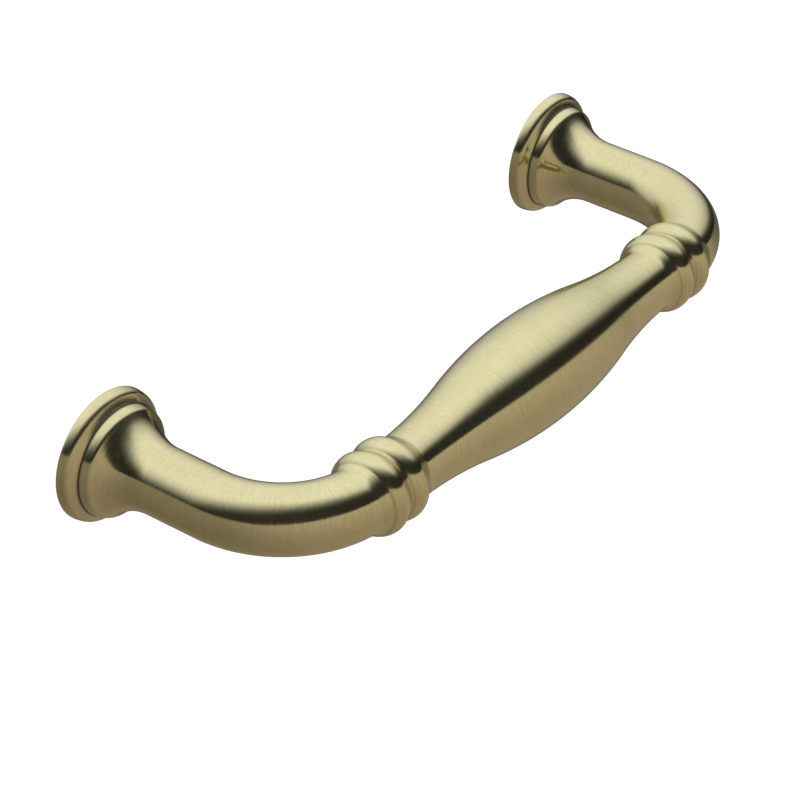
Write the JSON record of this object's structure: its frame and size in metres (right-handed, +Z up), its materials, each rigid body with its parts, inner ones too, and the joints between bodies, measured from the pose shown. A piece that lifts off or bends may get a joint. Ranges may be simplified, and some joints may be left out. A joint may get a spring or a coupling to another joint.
{
  "type": "cabinet pull",
  "caption": "Vase-grip cabinet pull: turned, swelling grip between beaded collars, on posts with round stepped rosettes that screw to a drawer front or door.",
  "frame": {"origin": "on the door's face, midway between the two screw holes", "axes": "+X along the pull through both screw holes, +Y into the door, so the grip stands out along -Y, +Z up"},
  "size_m": [0.0904, 0.0302, 0.014],
  "materials": {
    "satin_brass": "brushed satin, pale brass"
  },
  "bodies": {
    "root": {"pull_casting": "satin_brass"}
  },
  "joints": []
}
